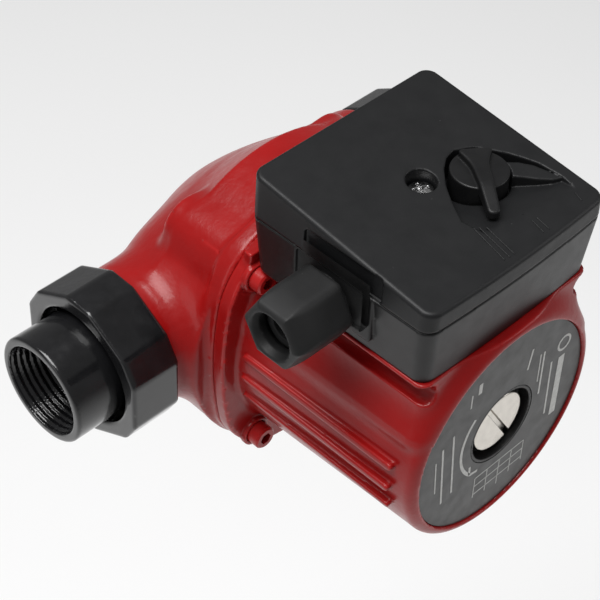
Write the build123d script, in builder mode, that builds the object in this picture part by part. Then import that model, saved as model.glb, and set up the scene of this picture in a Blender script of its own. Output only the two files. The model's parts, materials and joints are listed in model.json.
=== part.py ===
"""Wet-rotor circulator pump, 130 mm between its ports, with two pipe unions.

Millimetres, +Z up. The origin is where the pipe axis (X) meets the shaft axis (Y), midway
between the ports. Suction is at -X and discharge at +X. The motor reaches out along -Y,
which is called the front here, and the terminal box stands on top of it.
"""
from build123d import *
import math
import os

os.makedirs("parts", exist_ok=True)

# ---- driving dimensions ----------------------------------------------------------------
PORT_REACH = 65.0          # pipe centre to port face, so 130 mm port to port
PORT_THREAD = 23.9         # outside radius of the G 1 1/2 port thread
NUT_BORE = 24.0            # union nut, running clearance over the port thread
NUT_BACK = 61.0
NUT_LIP = 72.1
NUT_FRONT = 80.0
NUT_FLATS = 52.6
NUT_CORNERS = 54.8         # across the cut corners
TAIL_MOUTH = 96.5
TAIL_RADIUS = 19.2
TAIL_THREAD = 15.15        # core radius of the Rp 1 pipe thread
TAIL_THREAD_DEEP = 17.0
TAIL_BORE = 13.0
TAIL_FLANGE = 22.2
WASHER_THICK = 3.0

JOINT_FACE = 30.0          # pump housing to motor housing, distance in front of the pipe axis
FLANGE_FRONT = 35.0
SCREW_GRID = 72.0          # flange screws, centre to centre both ways
FLANGE_HALF = 50.0
FLANGE_CORNER = 42.5
SCREW_HEAD = 4.2

BOWL_RADIUS = 54.6
BOWL_DROP = 3.0            # the bowl is set below the shaft, as a scroll is
BOWL_BACK = 3.0
LUG_GRID = 62.0
LUG_RADIUS = 10.8
LUG_BACK = -2.0
CHAMBER_RADIUS = 41.5
CHAMBER_BACK = 11.0
CHAMBER_FRONT = 25.5
PLATE_SEAT = 44.0
EYE_RADIUS = 13.6

CAVITY_RADIUS = 39.0       # inside of the motor housing
CAVITY_FRONT = 104.0
BODY_BACK_RADIUS = 44.2
BODY_FRONT_RADIUS = 42.6
RIM_FRONT = 111.0
PLATE_FLOOR = 109.4
PLATE_RADIUS = 38.7
PLATE_THICK = 0.6
VENT_WELL = 14.7
VENT_HEAD = 11.1
VENT_SEAT = 104.6
VENT_THREAD = 8.9
BOSS_BACK = 98.0

CAN_RADIUS = 22.4
CAN_WALL = 0.5
STACK_BACK = 43.0          # laminated stack
STACK_FRONT = 84.0
SHAFT_RADIUS = 5.0
RUNNING_FIT = 0.05

BOX_FLOOR = 41.3           # flat on top of the motor, where the terminal box stands
BOX_SEAM = 64.0
BOX_BACK = 35.4
BOX_FRONT = 107.9
BOX_HALF_LOW = 37.5
BOX_HALF_SEAM = 39.5
BOX_HALF_TOP = 38.6
BOX_BOW = 1.3              # how far the front bulges at its middle
BOX_CORNER = 4.4
BOX_WALL = 2.2
LID_FRONT_Z = 70.9
LID_SLOPE = 0.118
LID_WALL = 2.2

KNOB_X = 15.9
KNOB_FRONT = 77.2
KNOB_RADIUS = 9.2
KNOB_TIP = 20.1
POINTER_ANGLE = 234.0      # position III
KNOB_TOP = 75.2
KNOB_BASE = 69.2
KNOB_STEM = 3.0
DIAL_FLOOR = 66.6          # dial recess, round the knob
DIAL_RISE = 0.22           # how much its floor climbs per millimetre towards the front
DIAL_LEFT = -3.9
DIAL_RIGHT = 34.2
LID_SCREW = (-1.2, -69.2)
LID_SCREW_SEAT = 70.0
BOX_SCREWS = ((-26.0, -47.0), (26.0, -97.0))
EARTH_SCREW = (-25.0, -97.0)

GLAND_FRONT = 72.0
GLAND_Z = 56.5
GLAND_SEAT = 39.7
GLAND_NUT_FLATS = 22.0
GLAND_SPIGOT = 6.6
GLAND_THREAD = 9.0
GLAND_FACE = 42.7
GLAND_PLATE_RISE = 4.7     # the plate's middle stands above the cable axis
CABLE_RADIUS = 4.5         # the gland's rubber fits a 9 mm cable
SEAL_HEIGHT = 1.2
LID_SHANK = 1.9


def ahead(distance):
    """Plane across the shaft, that far in front of the pipe axis, facing forward (-Y)."""
    return Plane.XZ.offset(distance)


def outward(side, distance):
    """Plane across the pipe on one side (-1 suction, +1 discharge), facing away from the pump."""
    return Plane(origin=(side * distance, 0, 0), x_dir=(0, 1, 0), z_dir=(side, 0, 0))


def lid_height(distance):
    """Height of the sloping lid at a distance in front of the pipe axis."""
    return LID_FRONT_Z + LID_SLOPE * (BOX_FRONT - distance)


def ring(outer, inner, start, end):
    """Plain ring about the shaft."""
    with BuildPart() as piece:
        with BuildSketch(ahead(start)):
            Circle(outer)
            Circle(inner, mode=Mode.SUBTRACT)
        extrude(amount=end - start)
    return piece.part


def pipe_ring(side, outer, inner, start, end):
    """Plain ring about the pipe axis."""
    with BuildPart() as piece:
        with BuildSketch(outward(side, start)):
            Circle(outer)
            Circle(inner, mode=Mode.SUBTRACT)
        extrude(amount=end - start)
    return piece.part


def save(part, name):
    """Label one finished piece and write its STEP file."""
    part.label = name
    export_step(part, f"parts/{name}.step")


def flange_outline():
    """Rounded square with bulging sides, shared by the two housings."""
    half = FLANGE_HALF
    corner = FLANGE_CORNER
    with BuildSketch() as outline:
        with BuildLine():
            ThreePointArc((corner, -corner), (half, 0), (corner, corner))
            ThreePointArc((corner, corner), (0, half), (-corner, corner))
            ThreePointArc((-corner, corner), (-half, 0), (-corner, -corner))
            ThreePointArc((-corner, -corner), (0, -half), (corner, -corner))
        make_face()
        fillet(outline.vertices(), 14)
    return outline.sketch


def box_outline(half_width, back, front, bow, radius):
    """Plan of the terminal box, with its bowed front and rounded corners."""
    with BuildSketch() as outline:
        with BuildLine():
            Polyline((half_width, -front), (half_width, -back), (-half_width, -back), (-half_width, -front))
            ThreePointArc((-half_width, -front), (0, -front - bow), (half_width, -front))
        make_face()
        fillet(outline.vertices(), radius)
    return outline.sketch


def inset_outline(inset):
    """The box's outline at its seam, drawn in by that much all round."""
    return box_outline(
        BOX_HALF_SEAM - inset, BOX_BACK + inset, BOX_FRONT - inset, BOX_BOW, BOX_CORNER - inset
    )


def seal_outline():
    """Thin band along the middle of the box wall, for the lid's seal."""
    with BuildSketch() as outline:
        add(inset_outline(0.6))
        add(inset_outline(1.6), mode=Mode.SUBTRACT)
    return outline.sketch


FLANGE_OUTLINE = flange_outline()
SEAL_OUTLINE = seal_outline()

# ---- pump housing ----------------------------------------------------------------------
with BuildPart() as pump_housing:
    with BuildSketch(ahead(BOWL_BACK)):
        with Locations((0, -BOWL_DROP)):
            Circle(BOWL_RADIUS)
    extrude(amount=JOINT_FACE - 4 - BOWL_BACK)
    with BuildSketch(ahead(24)):
        add(FLANGE_OUTLINE)
    extrude(amount=JOINT_FACE - 24)
    # thick lugs round the screw holes
    with BuildSketch(ahead(LUG_BACK)):
        with GridLocations(LUG_GRID, LUG_GRID, 2, 2):
            Circle(LUG_RADIUS)
    extrude(amount=JOINT_FACE - 1 - LUG_BACK)
    # back of the bowl, closing in behind the suction channel
    with BuildSketch(ahead(BOWL_BACK)):
        with Locations((0, -BOWL_DROP)):
            Circle(BOWL_RADIUS)
    with BuildSketch(ahead(-14)):
        Circle(38)
    loft()
    with BuildSketch(ahead(-14)):
        Circle(38)
    with BuildSketch(ahead(-27)):
        Circle(26)
    loft()
    # the pipe body, swelling from each port to the middle
    with BuildSketch(Plane.XZ):
        with BuildLine():
            Line((-PORT_REACH, 0), (-PORT_REACH, PORT_THREAD))
            Line((-PORT_REACH, PORT_THREAD), (-56, PORT_THREAD))
            ThreePointArc((-56, PORT_THREAD), (-33, 28.3), (0, 30))
            ThreePointArc((0, 30), (30, 30.5), (56, 28))
            Line((56, 28), (56, PORT_THREAD))
            Line((56, PORT_THREAD), (PORT_REACH, PORT_THREAD))
            Line((PORT_REACH, PORT_THREAD), (PORT_REACH, 0))
            Line((PORT_REACH, 0), (-PORT_REACH, 0))
        make_face()
    revolve(axis=Axis.X)
    with BuildSketch(ahead(JOINT_FACE)):
        Rectangle(120, 120)
    extrude(amount=10, mode=Mode.SUBTRACT)
    # impeller chamber, bearing plate seat and seal groove
    with BuildSketch(ahead(CHAMBER_BACK)):
        Circle(CHAMBER_RADIUS)
    extrude(amount=JOINT_FACE - CHAMBER_BACK, mode=Mode.SUBTRACT)
    with BuildSketch(ahead(CHAMBER_FRONT)):
        Circle(PLATE_SEAT)
    extrude(amount=JOINT_FACE - CHAMBER_FRONT, mode=Mode.SUBTRACT)
    with BuildSketch(ahead(JOINT_FACE - 2)):
        Circle(47.6)
        Circle(45.3, mode=Mode.SUBTRACT)
    extrude(amount=2, mode=Mode.SUBTRACT)
    # suction channel: in from the port, behind the impeller and forward into its eye
    with BuildSketch(outward(-1, 20)):
        Circle(TAIL_BORE)
    extrude(amount=PORT_REACH - 20, mode=Mode.SUBTRACT)
    with BuildSketch(Plane(origin=(0, 8, 0), x_dir=(0, 1, 0), z_dir=(-1, 0, 0))):
        Circle(12)
    extrude(amount=34, mode=Mode.SUBTRACT)
    with BuildSketch(ahead(-20)):
        Circle(EYE_RADIUS)
    extrude(amount=20 + CHAMBER_BACK + 3, mode=Mode.SUBTRACT)
    # discharge channel: out of the chamber and back on to the pipe axis
    with BuildSketch(outward(1, 42)):
        Circle(TAIL_BORE)
    extrude(amount=PORT_REACH - 42, mode=Mode.SUBTRACT)
    with BuildSketch(Plane(origin=(30, -14, 0), x_dir=(0, 1, 0), z_dir=(1, 0, 0))):
        Circle(9)
    extrude(amount=20, mode=Mode.SUBTRACT)
    # threaded holes for the flange screws
    with BuildSketch(ahead(JOINT_FACE)):
        with GridLocations(SCREW_GRID, SCREW_GRID, 2, 2):
            Circle(3.1)
    extrude(amount=-16, mode=Mode.SUBTRACT)
save(pump_housing.part, "pump_housing")

# ---- motor housing ---------------------------------------------------------------------
with BuildPart() as motor_housing:
    # cylinder with a slight casting draft and a rounded front rim
    with BuildSketch(Plane.YZ):
        with BuildLine():
            Line((-JOINT_FACE, 0), (-JOINT_FACE, BODY_BACK_RADIUS))
            Line((-JOINT_FACE, BODY_BACK_RADIUS), (-104.5, BODY_FRONT_RADIUS))
            ThreePointArc((-104.5, BODY_FRONT_RADIUS), (-109.6, 41.6), (-RIM_FRONT, 39.6))
            Line((-RIM_FRONT, 39.6), (-RIM_FRONT, 0))
            Line((-RIM_FRONT, 0), (-JOINT_FACE, 0))
        make_face()
    revolve(axis=Axis.Y)
    with BuildSketch(ahead(JOINT_FACE)):
        add(FLANGE_OUTLINE)
    extrude(amount=FLANGE_FRONT - JOINT_FACE)
    # waisted saddle under the terminal box
    with BuildSketch(ahead(FLANGE_FRONT - 1)):
        with BuildLine():
            Line((0, BOX_FLOOR + 5), (38.2, BOX_FLOOR + 5))
            Line((38.2, BOX_FLOOR + 5), (38.2, 38.5))
            ThreePointArc((38.2, 38.5), (35.4, 31), (37.6, 22))
            Line((37.6, 22), (0, 22))
            Line((0, 22), (0, BOX_FLOOR + 5))
        make_face()
        mirror(about=Plane.YZ)
    extrude(amount=106.8 - FLANGE_FRONT + 1)
    # three cooling ribs low on each side
    for side, turn in ((-1, 10.0), (-1, -1.5), (-1, -13.0), (1, 10.0), (1, -1.5), (1, -13.0)):
        ray = Vector(side * math.cos(math.radians(turn)), 0, math.sin(math.radians(turn)))
        with BuildSketch(Plane(origin=ray * 40 + Vector(0, -70.5, 0), x_dir=(0, 1, 0), z_dir=ray)):
            SlotOverall(65, 2.6)
        extrude(amount=5.2)
    # flat top for the box
    with BuildSketch(Plane.XY.offset(BOX_FLOOR)):
        with Locations((0, -FLANGE_FRONT - 42.6)):
            Rectangle(120, 85)
    extrude(amount=20, mode=Mode.SUBTRACT)
    # motor cavity
    with BuildSketch(ahead(JOINT_FACE)):
        Circle(CAVITY_RADIUS)
    extrude(amount=CAVITY_FRONT - JOINT_FACE, mode=Mode.SUBTRACT)
    # boss for the vent screw, its well, and the recess for the nameplate
    with BuildSketch(ahead(BOSS_BACK)):
        Circle(14)
    extrude(amount=CAVITY_FRONT - BOSS_BACK)
    with BuildSketch(ahead(PLATE_FLOOR)):
        Circle(PLATE_RADIUS + 0.3)
    extrude(amount=5, mode=Mode.SUBTRACT)
    with BuildSketch(ahead(VENT_SEAT)):
        Circle(VENT_WELL)
    extrude(amount=10, mode=Mode.SUBTRACT)
    with BuildSketch(ahead(BOSS_BACK)):
        Circle(VENT_THREAD + RUNNING_FIT)
    extrude(amount=12, mode=Mode.SUBTRACT)
    # pockets for the heads of the upper flange screws
    with BuildSketch(ahead(FLANGE_FRONT)):
        with Locations((SCREW_GRID / 2, SCREW_GRID / 2), (-SCREW_GRID / 2, SCREW_GRID / 2)):
            Circle(6.2)
    extrude(amount=15, mode=Mode.SUBTRACT)
    # clearance holes for the flange screws, and the way up for the winding leads
    with BuildSketch(ahead(JOINT_FACE)):
        with GridLocations(SCREW_GRID, SCREW_GRID, 2, 2):
            Circle(3.3)
    extrude(amount=10, mode=Mode.SUBTRACT)
    with BuildSketch(Plane.XY.offset(30)):
        with Locations((0, -90)):
            SlotOverall(15, 6)
    extrude(amount=14, mode=Mode.SUBTRACT)
    with BuildSketch(Plane.XY.offset(BOX_FLOOR)):
        with Locations(*BOX_SCREWS, EARTH_SCREW):
            Circle(2.05)
    extrude(amount=-7, mode=Mode.SUBTRACT)
save(motor_housing.part, "motor_housing")

# ---- flange screws, four in one node ---------------------------------------------------
with BuildPart() as flange_screws:
    with BuildSketch(ahead(FLANGE_FRONT)):
        with GridLocations(SCREW_GRID, SCREW_GRID, 2, 2):
            Circle(SCREW_HEAD)
    extrude(amount=6.0)
    chamfer(flange_screws.faces().filter_by(Axis.Y).group_by(Axis.Y)[0].edges(), 0.6)
    with BuildSketch(ahead(FLANGE_FRONT)):
        with GridLocations(SCREW_GRID, SCREW_GRID, 2, 2):
            Circle(3.0)
    extrude(amount=-20)
    with BuildSketch(ahead(FLANGE_FRONT + 2.8)):
        with GridLocations(SCREW_GRID, SCREW_GRID, 2, 2):
            RegularPolygon(2.0, 6, major_radius=False)
    extrude(amount=6, mode=Mode.SUBTRACT)
save(flange_screws.part, "flange_screws")

save(ring(47.5, 45.4, JOINT_FACE - 2, JOINT_FACE), "housing_seal")

# ---- nameplate and vent screw ----------------------------------------------------------
save(ring(PLATE_RADIUS, VENT_WELL, PLATE_FLOOR, PLATE_FLOOR + PLATE_THICK), "nameplate")

with BuildPart() as vent_screw:
    with BuildSketch(ahead(VENT_SEAT + 1.0)):
        Circle(VENT_HEAD)
    extrude(amount=3)
    chamfer(vent_screw.faces().filter_by(Axis.Y).group_by(Axis.Y)[0].edges(), 0.5)
    with BuildSketch(ahead(VENT_SEAT + 1.0)):
        Circle(VENT_THREAD)
    extrude(amount=-6)
    with BuildSketch(Plane(origin=(0, -(VENT_SEAT + 2.4), 0), x_dir=(0.53, 0, -0.848), z_dir=(0, -1, 0))):
        Rectangle(30, 1.9)
    extrude(amount=4, mode=Mode.SUBTRACT)
save(vent_screw.part, "vent_screw")
save(ring(10.9, VENT_THREAD + 0.1, VENT_SEAT + 0.1, VENT_SEAT + 0.9), "vent_seal")

# ---- stator ----------------------------------------------------------------------------
with BuildPart() as stator_core:
    with BuildSketch(ahead(STACK_BACK)):
        Circle(CAVITY_RADIUS - 0.2)
        Circle(CAN_RADIUS + 0.3, mode=Mode.SUBTRACT)
        with PolarLocations(29.3, 12):
            SlotOverall(9, 5.5, mode=Mode.SUBTRACT)
    extrude(amount=STACK_FRONT - STACK_BACK)
save(stator_core.part, "stator_core")

with BuildPart() as stator_windings:
    for start in (34.0, STACK_FRONT):
        with BuildSketch(ahead(start)):
            Circle(35.5)
            Circle(24.0, mode=Mode.SUBTRACT)
        extrude(amount=9.0)
    with BuildSketch(ahead(STACK_BACK)):
        with PolarLocations(29.3, 12):
            SlotOverall(8.4, 4.9)
    extrude(amount=STACK_FRONT - STACK_BACK)
    fillet(stator_windings.faces().filter_by(Axis.Y).sort_by(Axis.Y)[0].edges(), 2.5)
    fillet(stator_windings.faces().filter_by(Axis.Y).sort_by(Axis.Y)[-1].edges(), 2.5)
save(stator_windings.part, "stator_windings")

# ---- rotor can, bearings ---------------------------------------------------------------
with BuildPart() as rotor_can:
    with BuildSketch(ahead(JOINT_FACE - 1)):
        Circle(PLATE_SEAT - 0.3)
        Circle(CAN_RADIUS - CAN_WALL, mode=Mode.SUBTRACT)
    extrude(amount=1)
    with BuildSketch(ahead(JOINT_FACE)):
        Circle(CAN_RADIUS)
        Circle(CAN_RADIUS - CAN_WALL, mode=Mode.SUBTRACT)
    extrude(amount=BOSS_BACK - JOINT_FACE)
    with BuildSketch(ahead(BOSS_BACK - 1)):
        Circle(CAN_RADIUS - CAN_WALL)
        Circle(VENT_THREAD + 0.2, mode=Mode.SUBTRACT)
    extrude(amount=1)
save(rotor_can.part, "rotor_can")

with BuildPart() as bearing_plate:
    with BuildSketch(ahead(CHAMBER_FRONT)):
        Circle(PLATE_SEAT - 0.3)
    extrude(amount=JOINT_FACE - 1 - CHAMBER_FRONT)
    with BuildSketch(ahead(JOINT_FACE - 1)):
        Circle(14)
    extrude(amount=7)
    with BuildSketch(ahead(CHAMBER_FRONT)):
        Circle(9.1)
        with PolarLocations(18, 6):
            Circle(1.5)
    extrude(amount=20, mode=Mode.SUBTRACT)
save(bearing_plate.part, "bearing_plate")
save(ring(9.0, SHAFT_RADIUS + RUNNING_FIT, CHAMBER_FRONT, 37), "rear_bearing")
save(ring(CAN_RADIUS - CAN_WALL - 0.1, 9.1, 90, BOSS_BACK - 1), "front_bearing_holder")
save(ring(9.0, SHAFT_RADIUS + RUNNING_FIT, 88, BOSS_BACK - 2), "front_bearing")

# ---- rotor -----------------------------------------------------------------------------
with BuildPart() as shaft:
    with BuildSketch(ahead(9)):
        Circle(SHAFT_RADIUS)
    extrude(amount=87)
    chamfer(shaft.edges().filter_by(GeomType.CIRCLE), 0.5)
    with BuildSketch(ahead(94.5)):
        Rectangle(12, 1.4)
    extrude(amount=3, mode=Mode.SUBTRACT)
save(shaft.part, "shaft")
save(ring(21.3, SHAFT_RADIUS, STACK_BACK, STACK_FRONT), "rotor_core")
save(ring(8.6, SHAFT_RADIUS, 37.4, STACK_BACK), "thrust_collar")

# ---- impeller --------------------------------------------------------------------------
with BuildSketch() as vane_outline:
    with BuildLine():
        ThreePointArc((8.5, 0), (21.5, 7.5), (25, 20.5))
    trace(line_width=1.5)
with BuildPart() as impeller:
    with BuildSketch(ahead(22.5)):
        Circle(33)
    extrude(amount=2)
    with BuildSketch(ahead(13.0)):
        Circle(33)
        Circle(12.2, mode=Mode.SUBTRACT)
    extrude(amount=1.8)
    with BuildSketch(ahead(7.5)):
        Circle(13.4)
        Circle(12.2, mode=Mode.SUBTRACT)
    extrude(amount=6)
    with BuildSketch(ahead(14.0)):
        with PolarLocations(0, 6):
            add(vane_outline.sketch)
    extrude(amount=9)
    with BuildSketch(ahead(11.5)):
        Circle(8.8)
    extrude(amount=13)
    with BuildSketch(ahead(7)):
        Circle(SHAFT_RADIUS)
    extrude(amount=20, mode=Mode.SUBTRACT)
save(impeller.part, "impeller")

# ---- unions ----------------------------------------------------------------------------
for side, end, turn in ((-1, "inlet", 31.5), (1, "outlet", 30.0)):
    with BuildPart() as union_nut:
        with BuildSketch(outward(side, NUT_BACK)):
            RegularPolygon(NUT_FLATS / 2, 6, major_radius=False, rotation=turn)
            RegularPolygon(NUT_CORNERS / 2, 6, major_radius=False, rotation=turn + 30, mode=Mode.INTERSECT)
            Circle(NUT_BORE, mode=Mode.SUBTRACT)
        extrude(amount=NUT_LIP - NUT_BACK)
        with BuildSketch(outward(side, NUT_LIP)):
            RegularPolygon(NUT_FLATS / 2, 6, major_radius=False, rotation=turn)
            RegularPolygon(NUT_CORNERS / 2, 6, major_radius=False, rotation=turn + 30, mode=Mode.INTERSECT)
            Circle(21.2, mode=Mode.SUBTRACT)
        extrude(amount=NUT_FRONT - NUT_LIP)
    save(union_nut.part, f"union_nut_{end}")

    with BuildPart() as union_tail:
        with BuildSketch(outward(side, PORT_REACH + WASHER_THICK)):
            Circle(TAIL_FLANGE)
        extrude(amount=4)
        with BuildSketch(outward(side, PORT_REACH + WASHER_THICK + 4)):
            Circle(TAIL_RADIUS)
        extrude(amount=TAIL_MOUTH - PORT_REACH - WASHER_THICK - 4)
        with BuildSketch(outward(side, PORT_REACH)):
            Circle(TAIL_BORE)
        extrude(amount=40, mode=Mode.SUBTRACT)
        with BuildSketch(outward(side, TAIL_MOUTH - TAIL_THREAD_DEEP)):
            Circle(TAIL_THREAD)
        extrude(amount=30, mode=Mode.SUBTRACT)
    save(union_tail.part, f"union_tail_{end}")
    save(pipe_ring(side, 21.8, TAIL_BORE, PORT_REACH, PORT_REACH + WASHER_THICK), f"union_washer_{end}")

# ---- terminal box base -----------------------------------------------------------------
with BuildPart() as box_inside:
    with BuildSketch(Plane.XY.offset(BOX_FLOOR + BOX_WALL)):
        add(box_outline(BOX_HALF_LOW - BOX_WALL, BOX_BACK + 3.0, BOX_FRONT - 4.1, BOX_BOW, 2))
    with BuildSketch(Plane.XY.offset(BOX_SEAM)):
        add(inset_outline(BOX_WALL))
    loft()

with BuildPart() as terminal_box:
    with BuildSketch(Plane.XY.offset(BOX_FLOOR)):
        add(box_outline(BOX_HALF_LOW, BOX_BACK + 0.8, BOX_FRONT - 1.9, BOX_BOW, BOX_CORNER))
    with BuildSketch(Plane.XY.offset(BOX_SEAM)):
        add(box_outline(BOX_HALF_SEAM, BOX_BACK, BOX_FRONT, BOX_BOW, BOX_CORNER))
    loft()
    # flat pad behind the cable gland
    with BuildSketch(Plane((-GLAND_SEAT, -GLAND_FRONT, GLAND_Z - 1.2), x_dir=(0, 1, 0), z_dir=(1, 0, 0))):
        Rectangle(28, 17.4)
    extrude(amount=6)
    add(box_inside.part, mode=Mode.SUBTRACT)
    # pillar for the lid screw
    with BuildSketch(Plane.XY.offset(BOX_FLOOR + 1)):
        with Locations(LID_SCREW):
            Circle(4.2)
    extrude(amount=BOX_SEAM - 0.3 - BOX_FLOOR - 1)
    with BuildSketch(Plane.XY.offset(BOX_FLOOR + 6)):
        with Locations(LID_SCREW):
            Circle(LID_SHANK)
    extrude(amount=30, mode=Mode.SUBTRACT)
    # cable hole, slot for the winding leads and the screw holes in the floor
    with BuildSketch(Plane(origin=(-45, -GLAND_FRONT, GLAND_Z), x_dir=(0, 1, 0), z_dir=(1, 0, 0))):
        Circle(GLAND_SPIGOT + 0.2)
    extrude(amount=14, mode=Mode.SUBTRACT)
    with BuildSketch(Plane.XY.offset(BOX_FLOOR - 1)):
        with Locations((0, -90)):
            SlotOverall(15, 6)
        with Locations(*BOX_SCREWS, EARTH_SCREW):
            Circle(2.1)
    extrude(amount=6, mode=Mode.SUBTRACT)
    with BuildSketch(Plane.XY.offset(BOX_SEAM)):
        add(SEAL_OUTLINE)
    extrude(amount=-SEAL_HEIGHT / 2, mode=Mode.SUBTRACT)
save(terminal_box.part, "terminal_box")

# ---- terminal box lid ------------------------------------------------------------------

def dial_outline(grow):
    """Plan of the dial recess: close round the knob, fanning out under the pointer's sweep."""
    with BuildSketch() as outline:
        with BuildLine():
            ThreePointArc((DIAL_LEFT, -88.0), (-0.5, -80.6), (8.0, -70.0))
            ThreePointArc((8.0, -70.0), (15.5, -66.2), (23.2, -69.4))
            ThreePointArc((23.2, -69.4), (30.9, -81.9), (DIAL_RIGHT, -97.0))
            Line((DIAL_RIGHT, -97.0), (31.0, -102.0))
            Line((31.0, -102.0), (DIAL_LEFT + 1, -96.0))
            Line((DIAL_LEFT + 1, -96.0), (DIAL_LEFT, -88.0))
        make_face()
        with Locations((KNOB_X, -KNOB_FRONT)):
            Circle(KNOB_RADIUS + 0.8)
        offset(amount=grow)
    return outline.sketch


def dial_prism(grow, drop):
    """Everything above the dial floor, inside its outline; drop lowers the floor."""
    low = DIAL_FLOOR - drop
    with BuildPart() as piece:
        with BuildSketch(Plane.XY.offset(BOX_SEAM - 4)):
            add(dial_outline(grow))
        extrude(amount=36)
        # the floor climbs towards the front until it meets the lid's surface
        with BuildSketch(Plane.YZ.offset(-20)):
            Polygon(
                (-60, low),
                (-KNOB_FRONT, low),
                (-KNOB_FRONT - 30, low + 30 * DIAL_RISE),
                (-KNOB_FRONT - 30, 100),
                (-60, 100),
                align=None,
            )
        extrude(amount=70, mode=Mode.INTERSECT)
    return piece.part


with BuildPart() as lid_inside:
    with BuildSketch(Plane.XY.offset(BOX_SEAM)):
        add(inset_outline(LID_WALL))
    extrude(amount=30)
    with BuildSketch(Plane.YZ.offset(-60)):
        Polygon(
            (-20, lid_height(20) - LID_WALL),
            (-125, lid_height(125) - LID_WALL),
            (-125, 120),
            (-20, 120),
            align=None,
        )
    extrude(amount=120, mode=Mode.SUBTRACT)
    # walls of the dial recess and of the screw well
    add(dial_prism(1.8, 1.5), mode=Mode.SUBTRACT)
    with BuildSketch(Plane.XY.offset(BOX_SEAM - 1)):
        with Locations(LID_SCREW):
            Circle(6.4)
    extrude(amount=30, mode=Mode.SUBTRACT)

with BuildPart() as lid:
    with BuildSketch(Plane.XY.offset(BOX_SEAM)):
        add(box_outline(BOX_HALF_SEAM, BOX_BACK, BOX_FRONT, BOX_BOW, BOX_CORNER))
    with BuildSketch(Plane.XY.offset(lid_height(0))):
        add(box_outline(BOX_HALF_TOP, BOX_BACK - 0.2, BOX_FRONT + 0.1, BOX_BOW, BOX_CORNER))
    loft()
    with BuildSketch(Plane.YZ.offset(-60)):
        Polygon(
            (-20, lid_height(20)),
            (-125, lid_height(125)),
            (-125, 120),
            (-20, 120),
            align=None,
        )
    extrude(amount=120, mode=Mode.SUBTRACT)
    fillet(lid.faces().sort_by(Axis.Z)[-1].edges(), 1.6)
    add(lid_inside.part, mode=Mode.SUBTRACT)
    # dial recess: deep at the knob, running out to nothing at the numbers
    add(dial_prism(0, 0), mode=Mode.SUBTRACT)
    with BuildSketch(Plane.XY.offset(BOX_SEAM - 1)):
        with Locations((KNOB_X, -KNOB_FRONT)):
            Circle(KNOB_STEM + 0.4)
    extrude(amount=10, mode=Mode.SUBTRACT)
    # groove for the seal round the rim
    with BuildSketch(Plane.XY.offset(BOX_SEAM)):
        add(SEAL_OUTLINE)
    extrude(amount=SEAL_HEIGHT / 2, mode=Mode.SUBTRACT)
    # screw well
    with BuildSketch(Plane.XY.offset(LID_SCREW_SEAT)):
        with Locations(LID_SCREW):
            Circle(4.9)
    extrude(amount=20, mode=Mode.SUBTRACT)
    with BuildSketch(Plane.XY.offset(BOX_SEAM - 2)):
        with Locations(LID_SCREW):
            Circle(2.2)
    extrude(amount=20, mode=Mode.SUBTRACT)
    # clearance pocket over the cable gland flange
    with BuildSketch(Plane(origin=(-38.3, -74.0, 68.4), x_dir=(0, -1, 0), z_dir=(-1, 0, 0))):
        RectangleRounded(31, 8.6, 1.5)
    extrude(amount=8, mode=Mode.SUBTRACT)
    # engraved speed marks: three bars, two bars and one bar, beyond the edge of the recess
    for bars, x, start, length in ((3, -2.7, 97.0, 8.8), (2, 13.4, 101.0, 4.8), (1, 31.5, 103.2, 2.4)):
        with BuildSketch(Plane.XY.offset(lid_height(start + length / 2) - 0.5)):
            with Locations((x, -start - length / 2)):
                with GridLocations(2.1, 1, bars, 1):
                    Rectangle(0.5, length)
        extrude(amount=4, mode=Mode.SUBTRACT)
save(lid.part, "terminal_box_lid")

with BuildPart() as lid_seal:
    with BuildSketch(Plane.XY.offset(BOX_SEAM - SEAL_HEIGHT / 2)):
        add(SEAL_OUTLINE)
    extrude(amount=SEAL_HEIGHT)
save(lid_seal.part, "lid_seal")


def cross_screw(places, seat, head_radius, head_height, shank_radius, depth):
    """Pan-head screws pointing down, with a cross recess; one solid for each place."""
    with BuildPart() as screws:
        with BuildSketch(Plane.XY.offset(seat)):
            with Locations(*places):
                Circle(head_radius)
        extrude(amount=head_height)
        fillet(screws.faces().filter_by(Axis.Z).group_by(Axis.Z)[-1].edges(), head_height * 0.55)
        with BuildSketch(Plane.XY.offset(seat)):
            with Locations(*places):
                Circle(shank_radius)
        extrude(amount=-depth)
        for turn in (20, 110):
            with BuildSketch(Plane.XY.offset(seat + head_height * 0.35)):
                with Locations(*places):
                    Rectangle(head_radius * 1.15, head_radius * 0.26, rotation=turn)
            extrude(amount=head_height, mode=Mode.SUBTRACT)
    return screws.part


save(cross_screw((LID_SCREW,), LID_SCREW_SEAT, 4.1, 2.8, LID_SHANK, 20), "lid_screw")
FLOOR_TOP = BOX_FLOOR + BOX_WALL
save(cross_screw(BOX_SCREWS, FLOOR_TOP, 3.6, 2.4, 2.0, 8), "box_screws")
save(cross_screw((EARTH_SCREW,), FLOOR_TOP + 0.8, 3.6, 2.4, 2.0, 8), "earth_screw")

with BuildPart() as earth_tab:
    with BuildSketch(Plane.XY.offset(FLOOR_TOP)):
        with Locations(EARTH_SCREW):
            Circle(4.4)
            Circle(2.1, mode=Mode.SUBTRACT)
        with Locations((EARTH_SCREW[0] + 9, EARTH_SCREW[1])):
            Rectangle(11, 6.3)
    extrude(amount=0.8)
save(earth_tab.part, "earth_tab")

# ---- inside the box --------------------------------------------------------------------
TERMINALS = ((-19, -56), (-19, -64), (-19, -72))

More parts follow.
